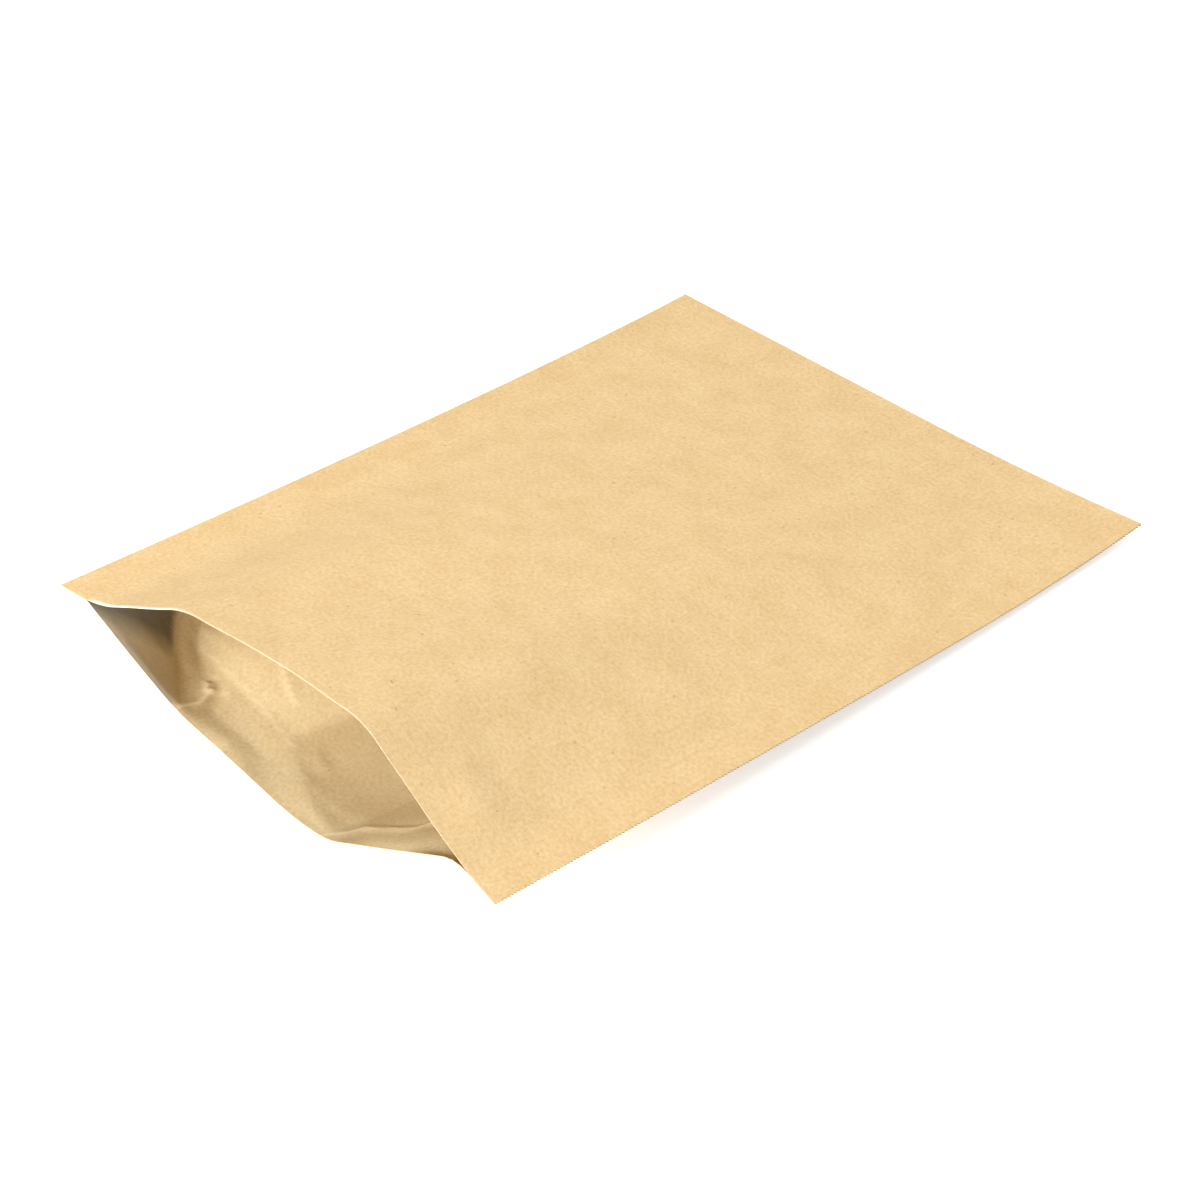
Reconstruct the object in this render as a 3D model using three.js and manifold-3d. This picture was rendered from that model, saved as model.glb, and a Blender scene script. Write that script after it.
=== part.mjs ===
// A kraft paper mailer bag, lying on a table with its mouth open.
// One sheet is folded across the closed end and bonded flat along both long sides,
// so the bag is one folded piece around an open pocket.
// Millimetres: X runs across the bag, Y from the mouth to the closed end, Z up from the table.

import * as THREE from 'three';
import { mergeVertices } from 'three/addons/utils/BufferGeometryUtils.js';
import Module from 'manifold-3d';

// The flat bag
const BAG_WIDTH = 250;
const BAG_LENGTH = 353;
const PAPER = 0.25;
const SEAL_WIDTH = 15;
const FOLD_FLAT = 4;

// The pinked edge along the right-hand seal
const TOOTH_PITCH = 1.6;
const TOOTH_DEPTH = 0.5;

// Heights of the open mouth over the table, from left to right
const LEFT_CORNER_RISE = 34.5;
const LEFT_SEAL_RISE = 35.5;
const TUCK_RISE = 39.5;
const LEFT_SHOULDER_RISE = 55.5;
const CREST_RISE = 61;
const RIGHT_SHOULDER_RISE = 59;
const FLANK_RISE = 27;
const RIGHT_SEAL_RISE = 26;
const RIGHT_CORNER_RISE = 21;

// Panels of the upper lip, measured along the paper
const SEAL_TO_TUCK = 20;
const TUCK_TO_LEFT_SHOULDER = 38;
const LEFT_SHOULDER_TO_CREST = 50;
const RIGHT_SHOULDER_TO_SEAL = 65;

// Panels of the lower lip, measured along the paper
const SEAL_TO_LEFT_KNEE = 88;
const RIGHT_KNEE_TO_FLANK = 59;
const FLANK_TO_SEAL = 15;

// How far each bend of the mouth is rounded along the panels beside it
const TUCK_REACH = 10;
const LEFT_SHOULDER_REACH = 8;
const CREST_REACH = 25;
const RIGHT_SHOULDER_REACH = 9;
const LEFT_KNEE_REACH = 28;
const RIGHT_KNEE_REACH = 7;
const FLANK_REACH = 6;

// The way the opened bag lies
const MOUTH_OFFSET = 4.5;
const LENGTHWISE_SAG = 1.25;
const CORNER_CURL = 4.5;
const CORNER_CURL_REACH = 110;

// Facets of the curved paper
const POCKET_COLUMNS = 26;
const LENGTH_ROWS = 15;

const KRAFT_COLOUR = 0xeecd98;
const KRAFT_ROUGHNESS = 0.86;

// Paper left outside the pinked cut before it is made, and the cutter's size past the paper
const TRIM = 1;
const CUTTER_MARGIN = 5;

const FOLD_Y = BAG_LENGTH / 2;
const HALF_WIDTH = BAG_WIDTH / 2;
const POCKET_HALF_WIDTH = HALF_WIDTH - SEAL_WIDTH;

const wasm = await Module();
wasm.setup();

// Level distance that a panel of paper covers while it climbs or drops by a rise
function levelRun(panel, rise) {
  return Math.sqrt(panel * panel - rise * rise);
}

// The point on the way from one point to another, at a given distance
function stepTowards(from, to, distance) {
  return to.clone().sub(from).setLength(distance).add(from);
}

// A path through a row of points, with each bend between the ends rounded over its own reach
function bentPath(points, reaches) {
  const path = new THREE.CurvePath();
  let from = points[0];
  reaches.forEach((reach, index) => {
    const bend = points[index + 1];
    const bendIn = stepTowards(bend, points[index], reach);
    const bendOut = stepTowards(bend, points[index + 2], reach);
    path.add(new THREE.LineCurve(from, bendIn));
    path.add(new THREE.QuadraticBezierCurve(bendIn, bend, bendOut));
    from = bendOut;
  });
  path.add(new THREE.LineCurve(from, points.at(-1)));
  return path;
}

// A bend of the mouth that lies a panel of paper to the right or left of another point
function bendBeside(point, side, panel, rise) {
  return new THREE.Vector2(point.x + side * levelRun(panel, rise - point.y), rise);
}

const RIGHT = 1;
const LEFT = -1;

// The two lips of the mouth as rows of points (x, height), from the left edge to the right edge.
// The upper lip sets how far apart the corners lie, and the lower lip hangs between them.
function mouthLips() {
  const leftPanels = SEAL_TO_TUCK + TUCK_TO_LEFT_SHOULDER + LEFT_SHOULDER_TO_CREST;
  const crownPanel = BAG_WIDTH - 2 * SEAL_WIDTH - leftPanels - RIGHT_SHOULDER_TO_SEAL;
  const leftCorner = new THREE.Vector2(0, LEFT_CORNER_RISE);
  const leftSeal = bendBeside(leftCorner, RIGHT, SEAL_WIDTH, LEFT_SEAL_RISE);
  const tuck = bendBeside(leftSeal, RIGHT, SEAL_TO_TUCK, TUCK_RISE);
  const leftShoulder = bendBeside(tuck, RIGHT, TUCK_TO_LEFT_SHOULDER, LEFT_SHOULDER_RISE);
  const crest = bendBeside(leftShoulder, RIGHT, LEFT_SHOULDER_TO_CREST, CREST_RISE);
  const rightShoulder = bendBeside(crest, RIGHT, crownPanel, RIGHT_SHOULDER_RISE);
  const rightSeal = bendBeside(rightShoulder, RIGHT, RIGHT_SHOULDER_TO_SEAL, RIGHT_SEAL_RISE);
  const rightCorner = bendBeside(rightSeal, RIGHT, SEAL_WIDTH, RIGHT_CORNER_RISE);
  const leftKnee = bendBeside(leftSeal, RIGHT, SEAL_TO_LEFT_KNEE, 0);
  const flank = bendBeside(rightSeal, LEFT, FLANK_TO_SEAL, FLANK_RISE);
  const rightKnee = bendBeside(flank, LEFT, RIGHT_KNEE_TO_FLANK, 0);

  const toBagCentre = new THREE.Vector2(MOUTH_OFFSET - rightCorner.x / 2, 0);
  const upperBends = [leftSeal, tuck, leftShoulder, crest, rightShoulder, rightSeal];
  const lowerBends = [leftKnee, rightKnee, flank];
  [leftCorner, rightCorner, ...upperBends, ...lowerBends].forEach((point) => point.add(toBagCentre));

  const upper = bentPath(
    upperBends,
    [TUCK_REACH, LEFT_SHOULDER_REACH, CREST_REACH, RIGHT_SHOULDER_REACH],
  );
  const lower = bentPath(
    [leftSeal, ...lowerBends, rightSeal],
    [LEFT_KNEE_REACH, RIGHT_KNEE_REACH, FLANK_REACH],
  );
  const trimmedCorner = stepTowards(rightSeal, rightCorner, SEAL_WIDTH + TRIM);
  const betweenEdges = (path) => [leftCorner, ...path.getSpacedPoints(POCKET_COLUMNS), trimmedCorner];
  return { upper: betweenEdges(upper), lower: betweenEdges(lower), rightCorner };
}

// Place of each column across the flat bag, in step with the points of the lips
function flatColumns() {
  const columns = [-HALF_WIDTH];
  for (let column = 0; column <= POCKET_COLUMNS; column += 1) {
    columns.push(THREE.MathUtils.lerp(-POCKET_HALF_WIDTH, POCKET_HALF_WIDTH, column / POCKET_COLUMNS));
  }
  columns.push(HALF_WIDTH + TRIM);
  return columns;
}

// Lift of the right-hand closed corner, which curls up about a diagonal line
function cornerLift(x, y) {
  const fromCorner = HALF_WIDTH - x + FOLD_Y - y;
  const share = Math.max(0, 1 - fromCorner / CORNER_CURL_REACH);
  return CORNER_CURL * share * share;
}

// One point of the paper's under face, where open runs from 0 at the fold to 1 at the mouth.
// Each strip of paper keeps its length, so a raised lip draws back towards the fold.
function paperPoint(flatX, lip, open) {
  const slant = Math.hypot(lip.x - flatX, lip.y);
  const x = THREE.MathUtils.lerp(flatX, lip.x, open);
  const y = FOLD_Y - PAPER - open * levelRun(BAG_LENGTH - PAPER, slant);
  const z = lip.y * open ** LENGTHWISE_SAG + cornerLift(x, y);
  return new THREE.Vector3(x, y, z);
}

// Upward direction square to a row of points in the section, with both seals kept flat
function upwardDirections(row) {
  const last = row.length - 1;
  return row.map((point, index) => {
    const before = row[index === last || index === last - 1 ? last - 1 : Math.max(index - 1, 0)];
    const after = row[index <= 1 ? 1 : Math.min(index + 1, last)];
    return new THREE.Vector3(before.z - after.z, 0, after.x - before.x).normalize();
  });
}

function raised(row, height) {
  const up = upwardDirections(row);
  return row.map((point, index) => point.clone().addScaledVector(up[index], height));
}

const lips = mouthLips();
const columns = flatColumns();

// The lower and the upper paper across the bag at one place along it
function paperRows(open) {
  return {
    lower: columns.map((flatX, index) => paperPoint(flatX, lips.lower[index], open)),
    upper: columns.map((flatX, index) => paperPoint(flatX, lips.upper[index], open)),
  };
}

// A closed round of points over the upper row and back along the lower row
function round(upperRow, lowerRow) {
  return [...upperRow, ...lowerRow.toReversed()];
}

// The row with its edge points drawn in to the seals' inner borders, where the pocket ends
function pocketRow(row) {
  return [row[1], ...row.slice(1, -1), row.at(-2)];
}

function outerRound(open) {
  const rows = paperRows(open);
  return round(raised(rows.upper, 2 * PAPER), rows.lower);
}

function pocketRound(open) {
  const rows = paperRows(open);
  return round(pocketRow(raised(rows.upper, PAPER)), pocketRow(raised(rows.lower, PAPER)));
}

// The outermost line of the fold, half way up the doubled paper
function foldNose() {
  const nose = raised(paperRows(0).lower, PAPER);
  nose.forEach((point) => {
    point.y = FOLD_Y;
  });
  return round(nose, nose);
}

// The line where the pocket ends, short of the pressed fold
function pocketEnd() {
  const bottom = pocketRow(raised(paperRows(FOLD_FLAT / BAG_LENGTH).lower, PAPER));
  return round(bottom, bottom);
}

// Rounds from the fold along the outside to the mouth, and back inside the pocket
function skinRounds() {
  const rounds = [foldNose()];
  for (let row = 0; row <= LENGTH_ROWS; row += 1) {
    rounds.push(outerRound(row / LENGTH_ROWS));
  }
  for (let row = LENGTH_ROWS; row >= 1; row -= 1) {
    rounds.push(pocketRound(row / LENGTH_ROWS));
  }
  rounds.push(pocketEnd());
  return rounds;
}

// A skin over successive rounds of points, with collapsed triangles left out
function skinGeometry(rounds) {
  const size = rounds[0].length;
  const indices = [];
  for (let row = 0; row < rounds.length - 1; row += 1) {
    for (let place = 0; place < size; place += 1) {
      const next = (place + 1) % size;
      const near = row * size;
      const far = near + size;
      indices.push(near + place, far + place, far + next);
      indices.push(near + place, far + next, near + next);
    }
  }
  const geometry = new THREE.BufferGeometry().setFromPoints(rounds.flat());
  geometry.setIndex(indices);
  const merged = mergeVertices(geometry);
  const corners = merged.index.array;
  const kept = [];
  for (let corner = 0; corner < corners.length; corner += 3) {
    const [a, b, c] = corners.slice(corner, corner + 3);
    if (a !== b && b !== c && c !== a) kept.push(a, b, c);
  }
  merged.setIndex(kept);
  return merged;
}

// A cutter whose inner side is the zigzag of the pinked edge, seen from above
function pinkingCutter() {
  const cornerSlant = Math.hypot(lips.rightCorner.x - HALF_WIDTH, lips.rightCorner.y);
  const mouthY = FOLD_Y - levelRun(BAG_LENGTH, cornerSlant);
  const mouthEnd = new THREE.Vector2(lips.rightCorner.x, mouthY);
  const foldEnd = new THREE.Vector2(HALF_WIDTH, FOLD_Y);
  const along = foldEnd.clone().sub(mouthEnd);
  const teeth = Math.round(along.length() / TOOTH_PITCH);
  const inward = new THREE.Vector2(-along.y, along.x).setLength(TOOTH_DEPTH);
  const outward = inward.clone().setLength(-CUTTER_MARGIN);
  const overrun = along.clone().setLength(CUTTER_MARGIN);

  const outline = [mouthEnd.clone().sub(overrun)];
  for (let tooth = 0; tooth < teeth; tooth += 1) {
    outline.push(mouthEnd.clone().addScaledVector(along, tooth / teeth));
    outline.push(mouthEnd.clone().addScaledVector(along, (tooth + 0.5) / teeth).add(inward));
  }
  outline.push(foldEnd);
  outline.push(foldEnd.clone().add(overrun));
  outline.push(foldEnd.clone().add(overrun).add(outward));
  outline.push(mouthEnd.clone().sub(overrun).add(outward));

  const height = RIGHT_CORNER_RISE + CORNER_CURL + 2 * CUTTER_MARGIN;
  const cutter = new THREE.ExtrudeGeometry(new THREE.Shape(outline), { depth: height, bevelEnabled: false });
  cutter.translate(0, 0, -CUTTER_MARGIN);
  cutter.deleteAttribute('normal');
  cutter.deleteAttribute('uv');
  return mergeVertices(cutter);
}

function solidFrom(geometry) {
  const vertProperties = new Float32Array(geometry.attributes.position.array);
  const triVerts = new Uint32Array(geometry.index.array);
  return new wasm.Manifold(new wasm.Mesh({ numProp: 3, vertProperties, triVerts }));
}

function geometryFrom(solid) {
  const mesh = solid.getMesh();
  const geometry = new THREE.BufferGeometry();
  geometry.setAttribute('position', new THREE.BufferAttribute(mesh.vertProperties, mesh.numProp));
  geometry.setIndex(new THREE.BufferAttribute(mesh.triVerts, 1));
  geometry.computeVertexNormals();
  return geometry;
}

const kraftPaper = new THREE.MeshStandardMaterial({
  color: KRAFT_COLOUR,
  roughness: KRAFT_ROUGHNESS,
  metalness: 0,
});

const pinkedBag = solidFrom(skinGeometry(skinRounds())).subtract(solidFrom(pinkingCutter()));
const paperBag = new THREE.Mesh(geometryFrom(pinkedBag), kraftPaper);
paperBag.name = 'paper_bag';

const mailerBag = new THREE.Group();
mailerBag.add(paperBag);

export default mailerBag;
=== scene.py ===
"""A kraft paper mailer bag that lies on a table with its mouth open.

One sheet is folded across the closed end and bonded flat along both long sides. X runs across the
bag, Y from the mouth to the closed end and Z up from the table. Blender works in metres; the tables
of folds, pleats and bark marks below are in millimetres on the flat bag.
"""

import math
from typing import NamedTuple

import bpy
import numpy as np
from bpy.props import FloatProperty, FloatVectorProperty, PointerProperty
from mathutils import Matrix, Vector


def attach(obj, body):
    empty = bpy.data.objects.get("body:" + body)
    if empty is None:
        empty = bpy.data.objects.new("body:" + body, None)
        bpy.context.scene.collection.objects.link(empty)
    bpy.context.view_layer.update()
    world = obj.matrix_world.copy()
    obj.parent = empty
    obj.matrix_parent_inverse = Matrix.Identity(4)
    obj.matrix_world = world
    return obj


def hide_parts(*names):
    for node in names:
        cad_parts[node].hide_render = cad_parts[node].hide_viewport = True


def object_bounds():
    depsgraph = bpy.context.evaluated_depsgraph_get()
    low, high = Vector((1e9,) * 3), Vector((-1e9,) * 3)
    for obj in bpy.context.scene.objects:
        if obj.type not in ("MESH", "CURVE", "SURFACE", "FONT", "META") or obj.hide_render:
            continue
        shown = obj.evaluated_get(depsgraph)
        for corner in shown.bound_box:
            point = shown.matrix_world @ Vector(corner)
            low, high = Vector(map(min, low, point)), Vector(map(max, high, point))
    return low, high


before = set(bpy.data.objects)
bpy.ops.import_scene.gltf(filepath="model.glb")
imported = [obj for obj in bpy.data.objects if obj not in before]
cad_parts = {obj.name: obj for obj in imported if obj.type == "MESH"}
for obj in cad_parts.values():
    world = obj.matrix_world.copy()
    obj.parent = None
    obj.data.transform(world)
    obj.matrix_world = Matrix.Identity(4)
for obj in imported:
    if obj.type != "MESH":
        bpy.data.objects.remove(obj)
CAD_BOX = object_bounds()

bl_info = {
    "name": "Paper mailer bag",
    "version": (1, 0, 0),
    "blender": (4, 5, 0),
    "location": "3D View > Sidebar > Mailer bag",
    "description": "Folds a kraft paper mailer bag and sets it on a white table",
    "category": "Add Mesh",
}

MM = 0.001
BAG_NODE = "paper_bag"
BAG_BODY = "root"

FLAT_WIDTH = CAD_BOX[1].x - CAD_BOX[0].x
FLAT_LENGTH = CAD_BOX[1].y - CAD_BOX[0].y

RIGHT = 1
LEFT = -1

# Mesh spacing: columns across the pocket and the seals, and rows in teeth of the pinked edge
FINE_COLUMN = 0.95 * MM
COARSE_COLUMN = 4 * MM
FINE_COLUMNS_END = 70 * MM
SEAL_COLUMNS = 4
FINE_ROW_TEETH = 48
MIDDLE_ROW_TEETH = 124
MIDDLE_ROW_STEP = 3
COARSE_ROW_STEP = 6
BEND_STEPS = 24

# Face kinds and attributes of the bag's mesh. A place on the sheet is (across, along, inside mark).
# Crease wear runs from 0 to 1, and below 0 it carries painted shade, where the left cheek is
# painted greyer and darker. A face of a tooth is paper where its direction is more upright than a
# share, and a cut edge elsewhere.
PAPER_FACE = 0
CUT_FACE = 1
WALL_FLAG = "pinked_wall"
PLACE_ATTRIBUTE = "sheet_place"
WEAR_AND_SHADE_ATTRIBUTE = "crease_wear"
INSIDE_MARK = 0.05
CREASE_WIDTH = 0.8 * MM
SHARP_ANGLE = math.radians(38)
UPRIGHT_SHARE = 0.7


class Pleat(NamedTuple):
    """A ridge or valley pressed into the paper along a line.

    The line's points are (across, depth, lift) in millimetres: across from the bag's middle, depth
    from the mouth, and lift off the plain sheet. On either side the paper slopes back over a reach.
    A peak of 1 gives straight sides, more gives a sharper line, and 0 a soft swell.
    """

    line: tuple
    left_reach: float
    right_reach: float
    peak: float = 1.0
    wear: float = 0.0


# Folds of the lower paper inside the mouth: at each depth, (across, height) of every fold line. The
# lines are the left cheek, its step, two lines of the floor panel, the tilted panel's two sides,
# the front crease and the right flank.
FLOOR_FOLDS = (
    (0, ((-54, 13.0), (-52, 12.4), (-40, 9.8), (-12, 6.3),
         (29, 6.0), (30, 6.0), (31, 6.0), (80, 19.0))),
    (5, ((-60, 12.6), (-53, 11.0), (-42, 9.7), (-14, 6.0),
         (25, 6.0), (30, 5.6), (33.5, 5.9), (80, 19.0))),
    (11, ((-66.7, 11.4), (-55, 9.8), (-44, 8.9), (-16, 5.8),
          (7, 6.2), (32, 4.6), (37.5, 5.8), (81, 19.0))),
    (15, ((-72, 11.3), (-57.5, 9.6), (-44.5, 8.9), (-16, 6.1),
          (3, 6.2), (34, 4.3), (57, 11.0), (82, 19.0))),
    (19, ((-78, 11.2), (-60, 9.2), (-45, 9.0), (-14, 6.4),
          (-6.7, 6.3), (35, 3.8), (64, 12.6), (84, 19.0))),
    (26, ((-87.7, 12.8), (-71, 9.2), (-45, 9.5), (-18, 7.1),
          (-13, 6.4), (36, 2.8), (69, 13.4), (86, 18.8))),
    (29, ((-91.2, 13.6), (-76.5, 9.4), (-45, 10.0), (-17.5, 7.4),
          (-12.5, 6.3), (36.5, 2.4), (70.5, 13.4), (87, 18.5))),
    (32, ((-94.7, 14.5), (-82, 9.8), (-46, 10.75), (-17, 7.8),
          (-12, 6.2), (37, 2.0), (72, 13.4), (88, 18.2))),
    (40, ((-99, 15.5), (-90.5, 11.2), (-48, 12.8), (-16, 8.7),
          (-11, 6.0), (38, 1.1), (74, 12.6), (90, 17.0))),
    (60, ((-103, 14.0), (-97, 12.0), (-52, 17.2), (-12, 10.6),
          (-6, 5.0), (38, 0.4), (76, 9.0), (92, 14.5))),
    (85, ((-105, 13.0), (-100, 10.5), (-56, 15.4), (-18, 8.0),
          (-6, 3.0), (36, 0.0), (76, 6.0), (95, 12.0))),
    (120, ((-106, 10.0), (-102, 8.0), (-60, 8.0), (-26, 4.2),
           (-6, 2.0), (34, 0.0), (77, 4.0), (98, 10.5))),
)
FLOOR_FOLDS_START = 5 * MM
FLOOR_FOLDS_FADE = 60 * MM

# Painted shade on the left cheek of the pocket, where little light gets in: a greyer painted tone
# all over it, and painted shade that darkens it beyond a line that slants back from the lip
PAINTED_SHADE_START = -93 * MM
PAINTED_SHADE_SLANT = 1.2
PAINTED_SHADE_REACH = 19 * MM
PAINTED_SHADE_EDGE = 3 * MM
PAINTED_SHADE_LIP = 4 * MM
PAINTED_SHADE_LIP_SHARE = 0.4
PAINTED_CHEEK_SHARE = 0.2
PAINTED_CHEEK_MIX = 0.45

# Curl of the lower lip off the table, as (across, height), which also draws the lip forwards and to
# the right
LIP_CURL = ((-30, 0), (-15, 1.6), (5, 4.6), (18, 6), (40, 6), (58, 2.6), (76, 0))
LIP_CURL_REACH = 55 * MM
LIP_CURL_FORWARD = 0.95

LOWER_PLEATS = (
    # The long crease across the floor, and a short one behind it
    Pleat(((-80, 33, 0), (-70, 32, 0.07), (-60, 30.3, 0.08), (-47, 28.7, 0.08),
           (-37.4, 27.2, 0.08), (-30.5, 25.6, 0.08), (-22, 24, 0.08), (-12, 22, 0)),
          1.8, 2.2, 1.2, 0.4),
    Pleat(((-47, 46, 0), (-44, 44.7, 0.2), (-34.7, 40, 0.3), (-27.7, 36.7, 0.15), (-26, 36, 0)),
          5, 2.4, 1.2, 0.4),
    # The worn crease at the front corner on the right
    Pleat(((29.5, 1.6, 0), (34.8, 6.4, 0.4), (38.6, 12.4, 0.6), (53.8, 14.4, 0.6),
           (62.4, 16, 0.6), (65.2, 20.8, 0.5), (72, 32, 0)),
          3, 3, 1.2, 0.7),
    # The crumple at the left knee
    Pleat(((-54, 1, 0.2), (-54, 5, 0.7), (-53, 11, 0.9), (-55.6, 19, 0.6)), 4, 3.5, 1.2, 0.8),
    Pleat(((-55.6, 19.5, 0.6), (-57.5, 17.6, 0.9), (-60, 20.8, 0.8), (-63, 21, 0.2)),
          2.4, 2.4, 1.2, 0.9),
    Pleat(((-64, 23, -0.2), (-61.5, 23.5, -1.0), (-59.5, 24, -0.3)), 2.5, 2.5, 1.2),
    Pleat(((-54, 24, 0), (-51.5, 20, -0.7), (-49, 14, -0.5), (-48, 9, 0)), 4, 4, 1),
    # A small swell in the tilted panel
    Pleat(((-9, 28.5, 0), (-3, 26, 0.25), (3, 24.3, 0.3), (7, 23, 0)), 4, 4.5, 1, 0.15),
)

UPPER_PLEATS = (
    # The shallow hollow that runs back from the left shoulder
    Pleat(((-48, 4, -0.2), (-30, 30, -0.9), (0, 80, -1.5),
           (40, 140, -1.5), (80, 200, -0.6), (100, 240, 0)),
          42, 42, 0),
    # Swells and dents of the right cheek
    Pleat(((72, 10, 0.3), (80, 22, 0.9), (95, 20, 0.7), (104, 16, 0)), 16, 16, 0),
    Pleat(((98, 34, 0), (102, 46, -0.5), (103, 66, -0.6), (99, 84, 0)), 9, 9, 0),
    # Ripples by the closed end
    Pleat(((-92, 334, 0.0), (-60, 337, 0.35), (-26, 338, 0.0)), 6, 6, 0),
    Pleat(((-98, 318, 0.0), (-62, 322, 0.4), (-20, 324, 0.0)), 8, 8, 0),
    Pleat(((-88, 300, 0.0), (-50, 305, 0.4), (-10, 306, 0.0)), 9, 9, 0),
)


class PaperNoise(NamedTuple):
    """A noise that shades the paper more and more from its plain value up to its full one."""

    label: str
    per_metre: float
    detail: float
    roughness: float
    plain: float
    full: float
    strength: float


class PaperFlecks(NamedTuple):
    """Specks in the paper: cells to a metre, share of cells with a speck, and radii in cells."""

    label: str
    per_metre: float
    chosen: float
    smallest: float
    largest: float
    strength: float
    tone: str


CLOUDS = PaperNoise("Clouds", 55, 4, 0.55, 0.35, 0.7, 0.45)
MOTTLE = PaperNoise("Mottle", 190, 2, 0.5, 0.35, 0.7, 0.2)
GRAIN = PaperNoise("Grain", 600, 3, 0.6, 0.3, 0.7, 1.0)
FINE_GRAIN = PaperNoise("Fine grain", 2600, 2, 0.6, 0.3, 0.7, 0.2)
EDGE_FUZZ = PaperNoise("Edge fuzz", 1800, 3, 0.7, 0.35, 0.7, 0.8)

# Fibres that run nearly along the sheet, each set with its turn in radians
FIBRES = (
    (PaperNoise("Fibres one way", 2200, 1, 0.5, 0.6, 0.75, 0.5), 0.35),
    (PaperNoise("Fibres other way", 2200, 1, 0.5, 0.6, 0.75, 0.5), -0.5),
)
FIBRE_SCALE = (1.0, 0.12, 1.0)

FLECKS = (
    PaperFlecks("Fine flecks", 420, 0.14, 0.09, 0.2, 0.08, "dark_fleck"),
    PaperFlecks("Dark flecks", 95, 0.2, 0.03, 0.07, 0.3, "dark_fleck"),
    PaperFlecks("Pale flecks", 150, 0.1, 0.03, 0.07, 0.35, "pale_fleck"),
)
INSIDE_FLECK_SHIFT = 30.0

# Splinters of bark on the upper face: across, depth from the mouth, turn in degrees and strength
BARK_MARKS = ((-44, 17, 20, 0.45), (31, 27, -30, 0.6), (44, 17, -35, 0.4))
BARK_MARK_LENGTH = 1.7 * MM
BARK_MARK_WIDTH = 0.6 * MM
BARK_MARK_CORE = 0.3

# The sealed strips are a little darker beyond their inner border
SEAL_SHADE = 0.12
SEAL_SHADE_EDGE = 0.4 * MM

# The pale band along the upper lip: its width, and how it narrows, starts, fades and ends
PALE_LIP_LEFT = 2.2 * MM
PALE_LIP_MIDDLE = 0.7 * MM
PALE_LIP_NARROWS = (-58 * MM, -40 * MM)
PALE_LIP_RAGGED = 0.2 * MM
PALE_LIP_FULL = 0.55
PALE_LIP_START = 5 * MM
PALE_LIP_FADES = (-65 * MM, -45 * MM)
PALE_LIP_FADED = 0.45
PALE_LIP_ENDS = (40 * MM, 65 * MM)
PALE_LIP_LAST = 0.2
PALE_CUT_DEPTH = 5 * MM
PALE_CUT_LEFT = 0.7
PALE_CUT_RIGHT = 0.12

# Gloss and bump of the paper's faces and of its cut edge
PAPER_ROUGHNESS = (0.78, 0.9)
PAPER_SPECULAR = 0.25
PAPER_BUMP = 0.2
FINE_BUMP_SHARE = 0.5
EDGE_ROUGHNESS = 0.92
EDGE_SPECULAR = 0.2
EDGE_BUMP = 0.4
BUMP_DISTANCE = 0.1 * MM

# Sockets of a Mix node that mixes colours
MIX_SHARE, MIX_BASE, MIX_LAYER = 0, 6, 7
MIX_RESULT = 2

# Gentle waves all over the paper
WAVE_COUNT = 14
WAVE_SHORTEST = 22 * MM
WAVE_LONGEST = 80 * MM
WAVE_HEIGHT = 0.03 * MM
UPPER_WAVE_SEED = 11
LOWER_WAVE_SEED = 29
SEAL_FADE = 18 * MM
FOLD_FADE = 70 * MM

# The table top, and how far it is lifted to white near the bag and far from it
FLOOR_HALF = 4.0
FLOOR_DROP = 0.2 * MM
FLOOR_LIFT = (0.6, 0.85)
FLOOR_LIFT_REACH = (0.45, 1.3)
FLOOR_ROUGHNESS = 0.95
WHITE = (1, 1, 1, 1)

AIM_POINT = Vector((3.96 * MM, -5.61 * MM, 0))
SENSOR_WIDTH = 36.0


class Softbox(NamedTuple):
    """A square lamp: its place, the point it faces, its side, and the setting of its power."""

    name: str
    place: tuple
    aim: tuple
    side: float
    power: str


SOFTBOXES = (
    Softbox("key_softbox", (0.08, -1.10, 0.35), (0, -0.16, 0.02), 0.42, "key_power"),
    Softbox("top_softbox", (-0.12, -0.06, 0.74), (0, -0.05, 0.03), 0.3, "top_power"),
    Softbox("fill_softbox", (-0.09, 2.44, 0.92), (0, 0, 0.03), 1.8, "fill_power"),
)


def length_size(name, millimetres, description):
    """A length that a user can change, given in millimetres and kept in metres."""
    return FloatProperty(
        name=name, description=description, default=millimetres * MM, unit="LENGTH", precision=5
    )


def colour_choice(name, red, green, blue, description):
    """A colour that a user can change, as linear light."""
    return FloatVectorProperty(
        name=name, description=description, default=(red, green, blue),
        subtype="COLOR", min=0, max=1,
    )


def lamp_power(name, watts, description):
    """A lamp's power that a user can change."""
    return FloatProperty(
        name=name, description=description, default=watts, min=0, unit="POWER"
    )


class FlatBagSizes(bpy.types.PropertyGroup):
    """Sizes of the bag as it is made, pressed flat."""

    width: length_size("Width", FLAT_WIDTH / MM, "Across the flat bag, with both seals")
    length: length_size("Length", FLAT_LENGTH / MM, "From the mouth to the fold")
    paper: length_size("Paper", 0.25, "Thickness of the paper")
    seal_width: length_size("Seal width", 15, "Bonded strip along each long side")
    tooth_pitch: length_size("Tooth pitch", 1.6, "Spacing of the teeth along the pinked edge")
    tooth_depth: length_size("Tooth depth", 0.5, "How far the teeth stand out")
    tooth_tip: FloatProperty(
        name="Tooth tip", description="Width of a tooth's tip as a share of its root",
        default=0.12, min=0.02, max=1, subtype="FACTOR",
    )


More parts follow.
